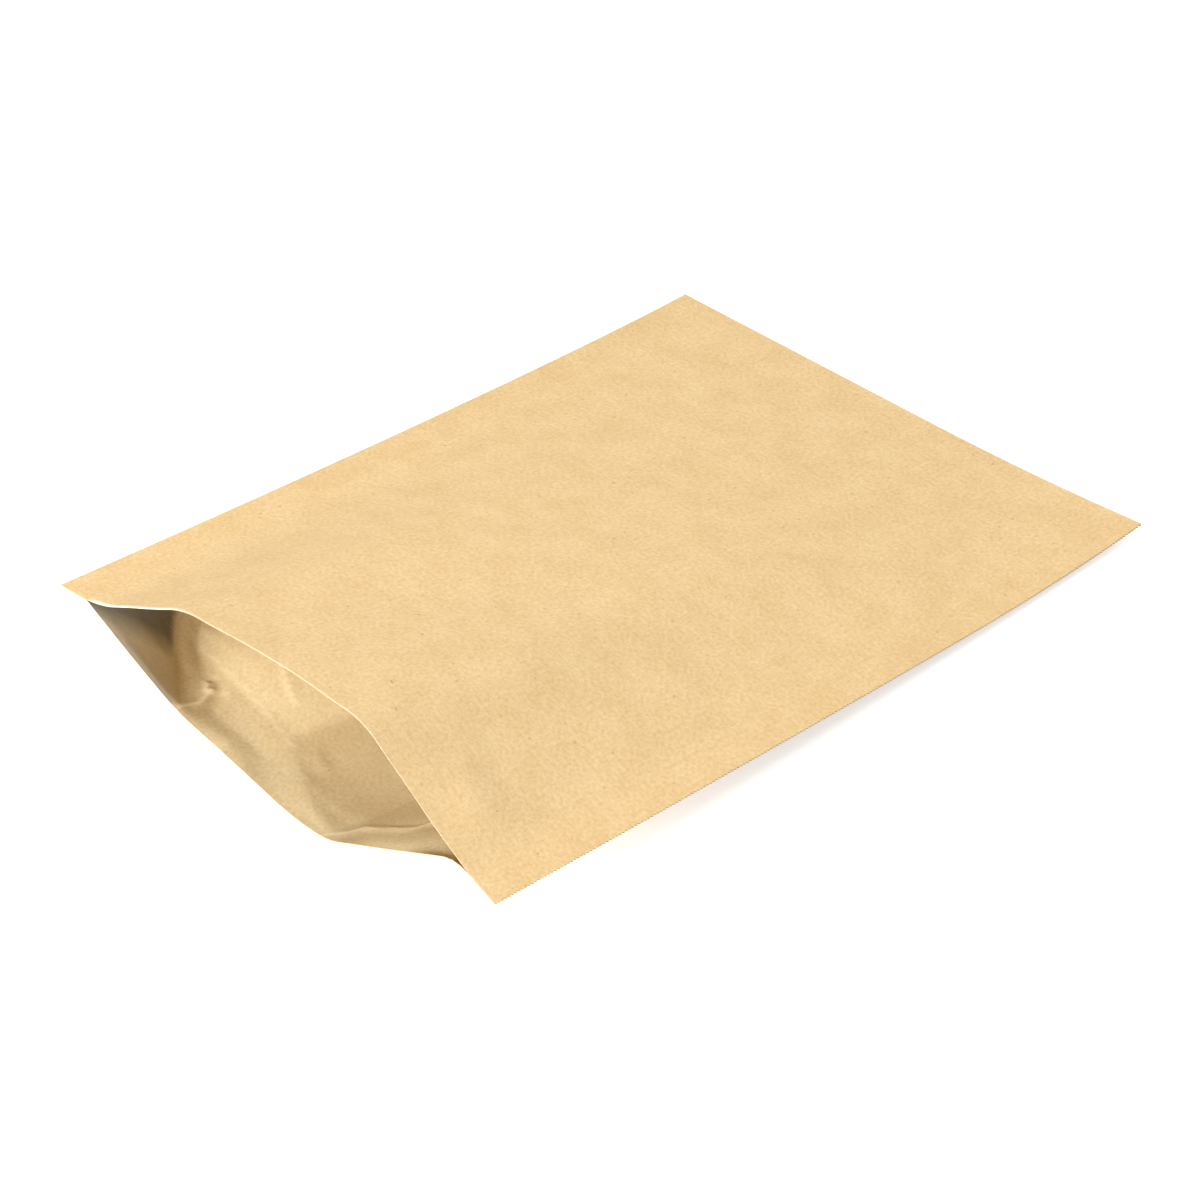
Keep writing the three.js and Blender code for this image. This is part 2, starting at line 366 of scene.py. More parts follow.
class OpenMouthSizes(bpy.types.PropertyGroup):
    """Heights, panels and bends of the open mouth."""

    left_corner_rise: length_size("Left corner rise", 34.5, "Height of the left corner")
    left_seal_rise: length_size("Left seal rise", 35.5, "Height of the left seal's inner border")
    tuck_rise: length_size("Tuck rise", 37.5, "Height of the tuck beside the left seal")
    left_shoulder_rise: length_size("Left shoulder rise", 57.5, "Height of the left shoulder")
    crest_rise: length_size("Crest rise", 61, "Height of the crest")
    right_shoulder_rise: length_size("Right shoulder rise", 59, "Height of the right shoulder")
    left_knee_rise: length_size("Left knee rise", 12, "Height of the lower lip's left knee")
    flank_rise: length_size("Flank rise", 28.3, "Height of the lower lip's right flank")
    right_seal_rise: length_size("Right seal rise", 26, "Height of the right seal's inner border")
    right_corner_rise: length_size("Right corner rise", 20.2, "Height of the right corner")

    seal_to_tuck: length_size("Seal to tuck", 11, "Upper lip, left seal to tuck")
    tuck_to_shoulder: length_size("Tuck to shoulder", 47, "Upper lip, tuck to left shoulder")
    shoulder_to_crest: length_size("Shoulder to crest", 50, "Upper lip, left shoulder to crest")
    shoulder_to_seal: length_size("Shoulder to seal", 65, "Upper lip, right shoulder to right seal")
    seal_to_knee: length_size("Seal to knee", 57, "Lower lip, left seal to left knee")
    knee_to_foot: length_size("Knee to foot", 65, "Lower lip, left knee to the table")
    knee_to_flank: length_size("Knee to flank", 70, "Lower lip, right knee to flank")
    flank_to_seal: length_size("Flank to seal", 8, "Lower lip, flank to right seal")

    tuck_reach: length_size("Tuck reach", 7, "Rounding of the tuck")
    left_shoulder_reach: length_size("Left shoulder reach", 8, "Rounding of the left shoulder")
    crest_reach: length_size("Crest reach", 25, "Rounding of the crest")
    right_shoulder_reach: length_size("Right shoulder reach", 9, "Rounding of the right shoulder")
    left_knee_reach: length_size("Left knee reach", 9, "Rounding of the left knee")
    foot_reach: length_size("Foot reach", 11, "Rounding where the lower lip meets the table")
    right_knee_reach: length_size("Right knee reach", 6, "Rounding of the right knee")
    flank_reach: length_size("Flank reach", 6, "Rounding of the flank")

    offset: length_size("Mouth offset", 4.5, "Sideways lean of the mouth")
    corner_curl: length_size("Corner curl", 4.5, "Lift of the right-hand closed corner")
    corner_curl_reach: length_size("Corner curl reach", 110, "How far the curl runs in")
    sag: FloatProperty(
        name="Sag", description="Exponent of the fall from the mouth to the fold",
        default=1.25, min=1, max=3,
    )


class PaperFinish(bpy.types.PropertyGroup):
    """Colours of the paper, with two painted shade tones for the left cheek inside the mouth."""

    kraft: colour_choice("Kraft", 0.926, 0.700, 0.394, "The outer face between its darker grains")
    inside: colour_choice("Inside", 0.760, 0.638, 0.409, "The rougher inner face")
    grain_shade: colour_choice(
        "Grain shade", 0.870, 0.800, 0.680, "Tone of the darker grains, clouds and fibres"
    )
    dark_fleck: colour_choice(
        "Dark fleck", 0.330, 0.190, 0.075, "Specks and splinters of bark in the pulp"
    )
    pale_fleck: colour_choice("Pale fleck", 0.930, 0.760, 0.500, "Specks of bleached pulp")
    worn_crease: colour_choice("Worn crease", 0.930, 0.770, 0.510, "Rubbed paper along the creases")
    # Painted shade: the left cheek inside the mouth is painted greyer, for the colour of the light
    # there
    painted_cheek_tone: colour_choice(
        "Painted cheek tone", 0.720, 0.665, 0.570, "Painted grey shade on the left cheek inside the mouth"
    )
    # Painted shade: this darkens the left cheek deep in the mouth, where little light gets in
    painted_deep_shade: colour_choice(
        "Painted deep shade", 0.320, 0.342, 0.370, "Painted shade on the left cheek deep in the mouth"
    )
    cut_edge: colour_choice("Cut edge", 0.520, 0.385, 0.215, "Raw edge of the cut paper")
    pale_lip: colour_choice("Pale lip", 0.985, 0.925, 0.750, "Pale band along the upper lip")


class StageSettings(bpy.types.PropertyGroup):
    """The table, the light and the camera."""

    floor: colour_choice("Floor", 0.86, 0.86, 0.86, "The table's colour")
    ambient: FloatProperty(name="Ambient", description="Light from all round", default=0.278, min=0)
    key_power: lamp_power("Key power", 20, "Power of the softbox in front")
    top_power: lamp_power("Top power", 1.45, "Power of the softbox over the mouth")
    fill_power: lamp_power("Fill power", 54, "Power of the softbox behind")
    azimuth: FloatProperty(
        name="Azimuth", description="The camera's turn round the bag from straight in front",
        default=math.radians(44.77), subtype="ANGLE",
    )
    elevation: FloatProperty(
        name="Elevation", description="The camera's angle over the table",
        default=math.radians(36.55), subtype="ANGLE",
    )
    distance: length_size("Distance", 1607, "From the camera to the point it looks at")
    focal_length: FloatProperty(
        name="Focal length", description="On a sensor 36 mm wide", default=124.6, unit="CAMERA"
    )


def level_run(panel, rise):
    """Level distance that a panel of paper covers while it climbs or drops by a rise."""
    return np.sqrt(panel * panel - rise * rise)


def step_towards(start, end, distance):
    """The point at a distance from the start on the way to the end."""
    way = end - start
    return start + way * (distance / np.linalg.norm(way))


def bend_beside(point, side, panel, rise):
    """A bend of the mouth, a panel of paper to the right or left of another point."""
    return np.array([point[0] + side * level_run(panel, rise - point[1]), rise])


def bent_path(points, reaches):
    """Close points along straight panels, with each bend rounded over its reach."""
    path = [points[0]]
    for before, bend, after, reach in zip(points[:-2], points[1:-1], points[2:], reaches):
        bend_in = step_towards(bend, before, reach)
        bend_out = step_towards(bend, after, reach)
        for share in np.linspace(0, 1, BEND_STEPS):
            rest = 1 - share
            path.append(rest * rest * bend_in + 2 * rest * share * bend + share * share * bend_out)
    path.append(points[-1])
    return np.array(path)


def lip_points(path, left_corner, right_corner, flat, columns):
    """Places of a lip's points (x, height) for columns of the flat bag, over the seals as well."""
    half_pocket = flat.width / 2 - flat.seal_width
    steps = np.linalg.norm(np.diff(path, axis=0), axis=1)
    travelled = np.concatenate([[0], np.cumsum(steps)])
    flat_places = travelled / travelled[-1] * 2 * half_pocket - half_pocket
    places = np.concatenate([[-flat.width / 2], flat_places, [flat.width / 2]])
    points = np.vstack([left_corner, path, right_corner])
    return np.stack([np.interp(columns, places, points[:, axis]) for axis in (0, 1)], axis=1)


def mouth_lips(flat, mouth, columns):
    """The upper and lower lip as points (x, height), one for each column."""
    left_panels = mouth.seal_to_tuck + mouth.tuck_to_shoulder + mouth.shoulder_to_crest
    crown = flat.width - 2 * flat.seal_width - left_panels - mouth.shoulder_to_seal
    left_corner = np.array([0, mouth.left_corner_rise])
    left_seal = bend_beside(left_corner, RIGHT, flat.seal_width, mouth.left_seal_rise)
    tuck = bend_beside(left_seal, RIGHT, mouth.seal_to_tuck, mouth.tuck_rise)
    left_shoulder = bend_beside(tuck, RIGHT, mouth.tuck_to_shoulder, mouth.left_shoulder_rise)
    crest = bend_beside(left_shoulder, RIGHT, mouth.shoulder_to_crest, mouth.crest_rise)
    right_shoulder = bend_beside(crest, RIGHT, crown, mouth.right_shoulder_rise)
    right_seal = bend_beside(right_shoulder, RIGHT, mouth.shoulder_to_seal, mouth.right_seal_rise)
    right_corner = bend_beside(right_seal, RIGHT, flat.seal_width, mouth.right_corner_rise)
    left_knee = bend_beside(left_seal, RIGHT, mouth.seal_to_knee, mouth.left_knee_rise)
    foot = bend_beside(left_knee, RIGHT, mouth.knee_to_foot, 0)
    flank = bend_beside(right_seal, LEFT, mouth.flank_to_seal, mouth.flank_rise)
    right_knee = bend_beside(flank, LEFT, mouth.knee_to_flank, 0)

    upper = bent_path(
        [left_seal, tuck, left_shoulder, crest, right_shoulder, right_seal],
        [
            mouth.tuck_reach, mouth.left_shoulder_reach,
            mouth.crest_reach, mouth.right_shoulder_reach,
        ],
    )
    lower = bent_path(
        [left_seal, left_knee, foot, right_knee, flank, right_seal],
        [mouth.left_knee_reach, mouth.foot_reach, mouth.right_knee_reach, mouth.flank_reach],
    )
    to_centre = np.array([mouth.offset - right_corner[0] / 2, 0])
    return [
        lip_points(path, left_corner, right_corner, flat, columns) + to_centre
        for path in (upper, lower)
    ]


def column_places(flat):
    """Places of the mesh columns across the flat bag, and which ones border the seals."""
    edge = flat.width / 2
    border = edge - flat.seal_width
    fine_count = round((FINE_COLUMNS_END + border) / FINE_COLUMN)
    coarse_count = round((border - FINE_COLUMNS_END) / COARSE_COLUMN)
    columns = np.concatenate([
        np.linspace(-edge, -border, SEAL_COLUMNS, endpoint=False),
        np.linspace(-border, FINE_COLUMNS_END, fine_count, endpoint=False),
        np.linspace(FINE_COLUMNS_END, border, coarse_count, endpoint=False),
        np.linspace(border, edge - flat.tooth_depth, SEAL_COLUMNS + 1),
    ])
    return columns, SEAL_COLUMNS, SEAL_COLUMNS + fine_count + coarse_count


def row_teeth(flat):
    """Tooth counts from the mouth at which the mesh rows lie, closer together near the mouth."""
    teeth = round(flat.length / flat.tooth_pitch)
    fine = range(0, FINE_ROW_TEETH)
    middle = range(FINE_ROW_TEETH, MIDDLE_ROW_TEETH, MIDDLE_ROW_STEP)
    coarse = range(MIDDLE_ROW_TEETH, teeth, COARSE_ROW_STEP)
    return [*fine, *middle, *coarse, teeth]


def lay_paper(lip, columns, depths, flat, mouth):
    """Grid of points of one layer's under face, with each lengthwise strip kept at its length."""
    fold_y = flat.length / 2
    open_share = (1 - depths / flat.length)[:, None]
    slant = np.hypot(lip[:, 0] - columns, lip[:, 1])
    x = columns + (lip[:, 0] - columns) * open_share
    y = fold_y - flat.paper - open_share * level_run(flat.length - flat.paper, slant)
    from_corner = flat.width / 2 - x + fold_y - y
    curl = np.clip(1 - from_corner / mouth.corner_curl_reach, 0, None) ** 2
    z = lip[:, 1] * open_share ** mouth.sag + mouth.corner_curl * curl
    return np.stack([x, y, z], axis=2)


def paper_normals(grid, columns, depths, first_border, last_border):
    """Upward directions of a layer of paper, with the seals kept straight up to their borders."""
    def normals(part, places):
        across = np.gradient(part, places, axis=1)
        along = np.gradient(part, depths, axis=0)
        direction = np.cross(across, along)
        return direction / np.linalg.norm(direction, axis=2, keepdims=True)

    result = normals(grid, columns)
    for seal in (slice(0, first_border + 1), slice(last_border, len(columns))):
        result[:, seal] = normals(grid[:, seal], columns[seal])
    return result


def pleat_profile(distance, reach, peak):
    """Share of a pleat's lift at a distance from its line."""
    share = np.clip(1 - distance / reach, 0, 1)
    if peak == 0:
        return share * share * (3 - 2 * share)
    return share ** peak


def press_pleat(pleat, across, depth):
    """Lift of the paper and wear of its surface from one pleat, over a grid of flat places."""
    points = np.array(pleat.line) * MM
    nearest = np.full(across.shape, np.inf)
    lift = np.zeros(across.shape)
    for start, end in zip(points[:-1], points[1:]):
        run_x, run_y, climb = end - start
        along = (across - start[0]) * run_x + (depth - start[1]) * run_y
        share = np.clip(along / (run_x ** 2 + run_y ** 2), 0, 1)
        gap_x = across - start[0] - share * run_x
        gap_y = depth - start[1] - share * run_y
        distance = np.hypot(gap_x, gap_y)
        on_left = run_x * gap_y - run_y * gap_x > 0
        reach = np.where(on_left, pleat.left_reach, pleat.right_reach) * MM
        segment_lift = (start[2] + share * climb) * pleat_profile(distance, reach, pleat.peak)
        lift = np.where(distance < nearest, segment_lift, lift)
        nearest = np.minimum(nearest, distance)
    return lift, pleat.wear * np.exp(-((nearest / CREASE_WIDTH) ** 2))


def gentle_waves(across, depth, seed):
    """A sum of slight waves in all directions over the paper."""
    chance = np.random.default_rng(seed)
    total = np.zeros(across.shape)
    for _ in range(WAVE_COUNT):
        heading = chance.uniform(0, math.tau)
        wave_length = chance.uniform(WAVE_SHORTEST, WAVE_LONGEST)
        phase = chance.uniform(0, math.tau)
        travel = across * math.cos(heading) + depth * math.sin(heading)
        total += np.sin(math.tau * travel / wave_length + phase)
    return total * WAVE_HEIGHT


def paper_relief(pleats, seed, columns, depths, flat):
    """Lift and wear of one layer from its pleats and waves, fading at the seals and the fold."""
    across, depth = np.meshgrid(columns, depths)
    border = flat.width / 2 - flat.seal_width
    fade = np.clip((border - np.abs(across)) / SEAL_FADE, 0, 1)
    fade = fade * np.clip((flat.length - depth) / FOLD_FADE, 0, 1)
    lift = gentle_waves(across, depth, seed)
    wear = np.zeros(across.shape)
    for pleat in pleats:
        pleat_lift, pleat_wear = press_pleat(pleat, across, depth)
        lift += pleat_lift
        wear = np.maximum(wear, pleat_wear)
    return lift * fade, wear * fade


def curl_lower_lip(grid, columns, depths):
    """Curl the middle of the lower lip up off the table."""
    across, heights = np.array(LIP_CURL).T * MM
    share = np.clip(1 - depths / LIP_CURL_REACH, 0, 1)[:, None]
    curl = np.interp(columns, across, heights) * share
    grid += curl[:, :, None] * np.array([LIP_CURL_FORWARD, -LIP_CURL_FORWARD, 1])


def press_floor(grid, columns, depths, first_border, last_border):
    """Press the folds inside the mouth into the lower paper, and let them fade to the back."""
    fold_depths = np.array([depth for depth, _ in FLOOR_FOLDS]) * MM
    fold_lines = np.array([line for _, line in FLOOR_FOLDS]) * MM
    last_depth = fold_depths[-1]
    pocket = slice(first_border, last_border + 1)
    for row, depth in enumerate(depths):
        if depth > last_depth + FLOOR_FOLDS_FADE:
            break
        places, heights = (
            [np.interp(depth, fold_depths, values) for values in fold_lines[:, :, axis].T]
            for axis in (0, 1)
        )
        floor = grid[row, pocket, 2]
        places = [columns[first_border], *places, columns[last_border]]
        heights = [floor[0], *heights, floor[-1]]
        folded = np.interp(columns[pocket], places, heights)
        share = min(depth / FLOOR_FOLDS_START, 1, 1 - (depth - last_depth) / FLOOR_FOLDS_FADE)
        floor += (folded - floor) * share


def paint_cheek_shade(columns, depths):
    """Share of painted shade on the left cheek, greyer and darker, more with the depth and near the
    seal.
    """
    across, depth = np.meshgrid(columns, depths)
    fold_depths = [row_depth * MM for row_depth, _ in FLOOR_FOLDS]
    cheek_line = np.interp(depth, fold_depths, [line[0][0] * MM for _, line in FLOOR_FOLDS])
    beside_fold = np.clip((cheek_line - across) / PAINTED_SHADE_EDGE, 0, 1)
    along_slant = depth - PAINTED_SHADE_SLANT * (across - PAINTED_SHADE_START)
    beside_lip = PAINTED_SHADE_LIP_SHARE * np.clip(1 - depth / PAINTED_SHADE_LIP, 0, 1)
    # Painted shade grows deeper into the pocket, with some along the lip as well
    deep = np.maximum(np.clip(along_slant / PAINTED_SHADE_REACH, 0, 1), beside_lip)
    return beside_fold * (PAINTED_CHEEK_SHARE + (1 - PAINTED_CHEEK_SHARE) * deep)


class BagMesh:
    """Points and faces of the folded bag, gathered layer by layer."""

    def __init__(self):
        self.points = []
        self.places = []
        self.wear = []
        self.faces = []
        self.kinds = []
        self.walls = []

    def add_points(self, points, places, wear):
        """Add an array of points and give back the array of their numbers."""
        shape = points.shape[:-1]
        first = len(self.points)
        self.points.extend(points.reshape(-1, 3).tolist())
        self.places.extend(places.reshape(-1, 3).tolist())
        self.wear.extend(np.broadcast_to(wear, shape).reshape(-1).tolist())
        return np.arange(first, len(self.points)).reshape(shape)

    def add_face(self, corners, kind=PAPER_FACE, wall=False):
        """Add one face, and flag it where it is a wall that becomes a tooth."""
        self.faces.append([int(corner) for corner in corners])
        self.kinds.append(kind)
        self.walls.append(wall)

    def add_grid(self, numbers, facing_up):
        """Cover a grid of points with four-sided faces."""
        near, far = numbers[:-1], numbers[1:]
        quads = np.stack([near[:, :-1], near[:, 1:], far[:, 1:], far[:, :-1]], axis=2)
        quads = quads.reshape(-1, 4)
        for quad in quads if facing_up else quads[:, ::-1]:
            self.add_face(quad)

    def add_strip(self, first, second, kind):
        """Join two rows of points by four-sided faces."""
        for place in range(len(first) - 1):
            corners = (first[place], first[place + 1], second[place + 1], second[place])
            self.add_face(corners, kind)

    def to_mesh(self, name):
        """Make a Blender mesh of the points and faces, with their attributes."""
        mesh = bpy.data.meshes.new(name)
        mesh.from_pydata(self.points, [], self.faces)
        place = mesh.attributes.new(PLACE_ATTRIBUTE, "FLOAT_VECTOR", "POINT")
        place.data.foreach_set("vector", np.array(self.places, np.float32).ravel())
        # This attribute carries crease wear, and below 0 the painted shade of the left cheek
        wear = mesh.attributes.new(WEAR_AND_SHADE_ATTRIBUTE, "FLOAT", "POINT")
        wear.data.foreach_set("value", np.array(self.wear, np.float32))
        wall = mesh.attributes.new(WALL_FLAG, "BOOLEAN", "FACE")
        wall.data.foreach_set("value", np.array(self.walls, bool))
        mesh.polygons.foreach_set("material_index", np.array(self.kinds, np.int32))
        mesh.update()
        return mesh


def sheet_places(columns, along, inside):
    """Places on the whole flat sheet, which runs from one lip over the fold to the other."""
    across, length = np.meshgrid(columns, along)
    mark = np.full(across.shape, INSIDE_MARK if inside else 0.0)
    return np.stack([across, length, mark], axis=2)


def tooth_points(edge, teeth):
    """Points between two rows of the edge, one for each tooth that starts between them."""
    spaced = [edge[:1]]
    for row in range(len(edge) - 1):
        count = teeth[row + 1] - teeth[row]
        shares = np.linspace(0, 1, count + 1)[1:, None]
        spaced.append(edge[row] + (edge[row + 1] - edge[row]) * shares)
    return np.concatenate(spaced)


def shape_layers(flat, mouth, columns, depths, first_border, last_border):
    """Under face, upward directions and wear of the upper and the lower layer of paper."""
    upper_lip, lower_lip = mouth_lips(flat, mouth, columns)
    upper_grid = lay_paper(upper_lip, columns, depths, flat, mouth)
    lower_grid = lay_paper(lower_lip, columns, depths, flat, mouth)
    curl_lower_lip(lower_grid, columns, depths)
    press_floor(lower_grid, columns, depths, first_border, last_border)
    layers = []
    for grid, pleats, seed in (
        (upper_grid, UPPER_PLEATS, UPPER_WAVE_SEED),
        (lower_grid, LOWER_PLEATS, LOWER_WAVE_SEED),
    ):
        lift, wear = paper_relief(pleats, seed, columns, depths, flat)
        grid += paper_normals(grid, columns, depths, first_border, last_border) * lift[:, :, None]
        grid[:, :, 2] = np.maximum(grid[:, :, 2], 0)
        layers.append((grid, paper_normals(grid, columns, depths, first_border, last_border), wear))
    return layers


def close_cut_edges(bag, top, under, floor, ceiling, nose, first_border, last_border):
    """Close both lips, the ends of the seals, the straight left side and the ends of the fold."""
    inner = slice(first_border, last_border + 1)
    bag.add_strip(ceiling[0], top[0, inner], CUT_FACE)
    bag.add_strip(under[0, inner], floor[0], CUT_FACE)
    bag.add_strip(under[0, :first_border], top[0, :first_border], CUT_FACE)
    bag.add_strip(under[0, last_border + 1:], top[0, last_border + 1:], CUT_FACE)
    before, border = first_border - 1, first_border
    seal_end = (under[0, before], under[0, border], floor[0, 0], top[0, border], top[0, before])
    bag.add_face(seal_end, CUT_FACE)
    border, after = last_border, last_border + 1
    seal_end = (under[0, border], under[0, after], top[0, after], top[0, border], floor[0, -1])
    bag.add_face(seal_end, CUT_FACE)
    bag.add_strip(top[:, 0], under[:, 0], CUT_FACE)
    bag.add_face((under[-1, 0], top[-1, 0], nose[0]), CUT_FACE)
    bag.add_face((top[-1, -1], under[-1, -1], nose[-1]), CUT_FACE)


def close_pinked_side(bag, top, under, teeth):
    """Close the right side with one wall face for each tooth, ready to be drawn out."""
    edges = []
    for numbers in (top, under):
        edge = np.array([bag.points[number] for number in numbers[:, -1]])
        places = np.array([bag.places[number] for number in numbers[:, -1]])
        spaced, spaced_places = tooth_points(edge, teeth), tooth_points(places, teeth)
        edge_numbers = np.empty(len(spaced), int)
        on_row = np.isin(np.arange(len(spaced)), teeth)
        edge_numbers[on_row] = numbers[:, -1]
        edge_numbers[~on_row] = bag.add_points(spaced[~on_row], spaced_places[~on_row], 0.0)
        edges.append(edge_numbers)
    top_edge, under_edge = edges
    for tooth in range(teeth[-1]):
        wall = (under_edge[tooth], under_edge[tooth + 1], top_edge[tooth + 1], top_edge[tooth])
        bag.add_face(wall, CUT_FACE, wall=True)
    for row in range(len(teeth) - 1):
        span = slice(teeth[row], teeth[row + 1] + 1)
        bag.add_face((top[row, -2], *top_edge[span], top[row + 1, -2]))
        bag.add_face((under[row + 1, -2], *under_edge[span][::-1], under[row, -2]))


def fold_bag_mesh(flat, mouth):
    """The bag's closed mesh, without the teeth of its pinked edge."""
    columns, first_border, last_border = column_places(flat)
    teeth = row_teeth(flat)
    depths = np.array(teeth) * flat.length / teeth[-1]
    upper_layer, lower_layer = shape_layers(
        flat, mouth, columns, depths, first_border, last_border
    )
    upper, upper_up, upper_wear = upper_layer
    lower, lower_up, lower_wear = lower_layer

    pocket = (slice(0, -1), slice(first_border, last_border + 1))
    ceiling_points = (upper + flat.paper * upper_up)[pocket]
    floor_points = (lower + flat.paper * lower_up)[pocket]
    floor_points[-1] = (floor_points[-1] + ceiling_points[-1]) / 2
    sheet_end = 2 * flat.length

    bag = BagMesh()
    top = bag.add_points(
        upper + 2 * flat.paper * upper_up, sheet_places(columns, depths, False), upper_wear
    )
    under = bag.add_points(lower, sheet_places(columns, sheet_end - depths, False), lower_wear)
    floor = bag.add_points(
        floor_points,
        sheet_places(columns, sheet_end - depths, True)[pocket],
        # Below 0 this carries the painted shade of the left cheek
        (lower_wear - paint_cheek_shade(columns, depths))[pocket],
    )
    ceiling = floor.copy()
    ceiling[:-1, 1:-1] = bag.add_points(
        ceiling_points[:-1, 1:-1],
        sheet_places(columns, depths, True)[pocket][:-1, 1:-1],
        upper_wear[pocket][:-1, 1:-1],
    )
    nose_points = (upper[-1] + lower[-1]) / 2 + flat.paper * lower_up[-1]
    nose_points[:, 1] = flat.length / 2
    nose = bag.add_points(nose_points, sheet_places(columns, [flat.length], False)[0], 0.0)

    bag.add_grid(top[:, :-1], True)
    bag.add_grid(under[:, :-1], False)
    bag.add_grid(floor, True)
    bag.add_grid(ceiling, False)
    bag.add_strip(top[-1], nose, PAPER_FACE)
    bag.add_strip(nose, under[-1], PAPER_FACE)
    close_cut_edges(bag, top, under, floor, ceiling, nose, first_border, last_border)
    close_pinked_side(bag, top, under, teeth)
    return bag.to_mesh("paper_bag_folded")


def add_node(tree, kind, label, inputs=None, **settings):
    """Add a node, set it up, and set or link its inputs."""
    node = tree.nodes.new(kind)
    node.label = label
    for name, value in settings.items():
        setattr(node, name, value)
    for key, value in (inputs or {}).items():
        if isinstance(value, bpy.types.NodeSocket):
            tree.links.new(value, node.inputs[key])
        else:
            node.inputs[key].default_value = value
    return node


def pinked_edge_tree(kraft):
    """Geometry nodes that draw each flagged wall face out into a tooth with a narrow tip."""
    tree = bpy.data.node_groups.new("Pinked edge", "GeometryNodeTree")
    tree.interface.new_socket("Geometry", in_out="INPUT", socket_type="NodeSocketGeometry")
    for name in ("Tooth depth", "Tooth tip"):
        tree.interface.new_socket(name, in_out="INPUT", socket_type="NodeSocketFloat")
    tree.interface.new_socket("Geometry", in_out="OUTPUT", socket_type="NodeSocketGeometry")
    given = add_node(tree, "NodeGroupInput", "Folded bag")
    wall = add_node(tree, "GeometryNodeInputNamedAttribute", "Wall faces", {
        "Name": WALL_FLAG,
    }, data_type="BOOLEAN")
    teeth = add_node(tree, "GeometryNodeExtrudeMesh", "Draw out teeth", {
        "Mesh": given.outputs["Geometry"],
        "Selection": wall.outputs["Attribute"],
        "Offset Scale": given.outputs["Tooth depth"],
        "Individual": True,
    }, mode="FACES")
    tips = add_node(tree, "GeometryNodeScaleElements", "Narrow the tips", {
        "Geometry": teeth.outputs["Mesh"],
        "Selection": teeth.outputs["Top"],
        "Scale": given.outputs["Tooth tip"],
        "Axis": (0, 1, 0),
    }, domain="FACE", scale_mode="SINGLE_AXIS")
    normal = add_node(tree, "GeometryNodeInputNormal", "Face direction")
    parts = add_node(tree, "ShaderNodeSeparateXYZ", "Direction parts", {
        "Vector": normal.outputs["Normal"],
    })
    upright = add_node(tree, "ShaderNodeMath", "Upright share", {
        0: parts.outputs["Z"],
    }, operation="ABSOLUTE")
    level = add_node(tree, "FunctionNodeCompare", "Level faces", {
        "A": upright.outputs[0], "B": UPRIGHT_SHARE,
    }, data_type="FLOAT", operation="GREATER_THAN")
    tooth_face = add_node(tree, "FunctionNodeBooleanMath", "Faces of the teeth's paper", {
        0: teeth.outputs["Side"], 1: level.outputs["Result"],
    }, operation="AND")
    real = add_node(tree, "GeometryNodeRealizeInstances", "Real mesh", {
        "Geometry": tips.outputs["Geometry"],
    })
    paper = add_node(tree, "GeometryNodeSetMaterial", "Paper on the teeth", {
        "Geometry": real.outputs["Geometry"],
        "Selection": tooth_face.outputs[0],
        "Material": kraft,
    })
    add_node(tree, "NodeGroupOutput", "Pinked bag", {"Geometry": paper.outputs["Geometry"]})
    return tree


def bake_nodes(piece, tree, sizes):
    """Run a node tree on a piece and keep its result as the piece's plain mesh."""
    modifier = piece.modifiers.new(tree.name, "NODES")
    modifier.node_group = tree
    for item in tree.interface.items_tree:
        if item.in_out == "INPUT" and item.name in sizes:
            modifier[item.identifier] = sizes[item.name]
    depsgraph = bpy.context.evaluated_depsgraph_get()
    baked = bpy.data.meshes.new_from_object(piece.evaluated_get(depsgraph), depsgraph=depsgraph)
    piece.modifiers.remove(modifier)
    plain = piece.data
    piece.data = baked
    bpy.data.meshes.remove(plain)
    baked.name = piece.name


def with_alpha(colour):
    """A colour as a node's input takes it."""
    return (*colour, 1.0)


def mix_colour(tree, label, share, base, layer, blend="MIX"):
    """Lay a plain colour over another colour by a share."""
    node = add_node(tree, "ShaderNodeMix", label, {
        MIX_SHARE: share, MIX_BASE: base, MIX_LAYER: with_alpha(layer),
    }, data_type="RGBA", clamp_factor=True, blend_type=blend)
    return node.outputs[MIX_RESULT]


def calculate(tree, label, operation, first, second=0.0, third=0.0):
    """One sum on numbers."""
    node = add_node(tree, "ShaderNodeMath", label, {
        0: first, 1: second, 2: third,
    }, operation=operation)
    return node.outputs[0]


def ramp(tree, label, value, low, high, to_low=0.0, to_high=1.0, smooth=False):
    """Map a number from one range to another."""
    node = add_node(tree, "ShaderNodeMapRange", label, {
        "Value": value, "From Min": low, "From Max": high, "To Min": to_low, "To Max": to_high,
    }, clamp=True, interpolation_type="SMOOTHSTEP" if smooth else "LINEAR")
    return node.outputs["Result"]


def noise(tree, kind, place):
    """One of the paper's noises, over a place."""
    node = add_node(tree, "ShaderNodeTexNoise", kind.label, {
        "Vector": place,
        "Scale": kind.per_metre,
        "Detail": kind.detail,
        "Roughness": kind.roughness,
    }, noise_dimensions="3D")
    return node.outputs["Fac"]


def shade_by_noise(tree, colour, kind, pattern, tone):
    """Shade a colour by one of the paper's noises."""
    share = ramp(tree, kind.label + " share", pattern, kind.plain, kind.full, 0.0, kind.strength)
    return mix_colour(tree, kind.label + " shade", share, colour, tone, "MULTIPLY")


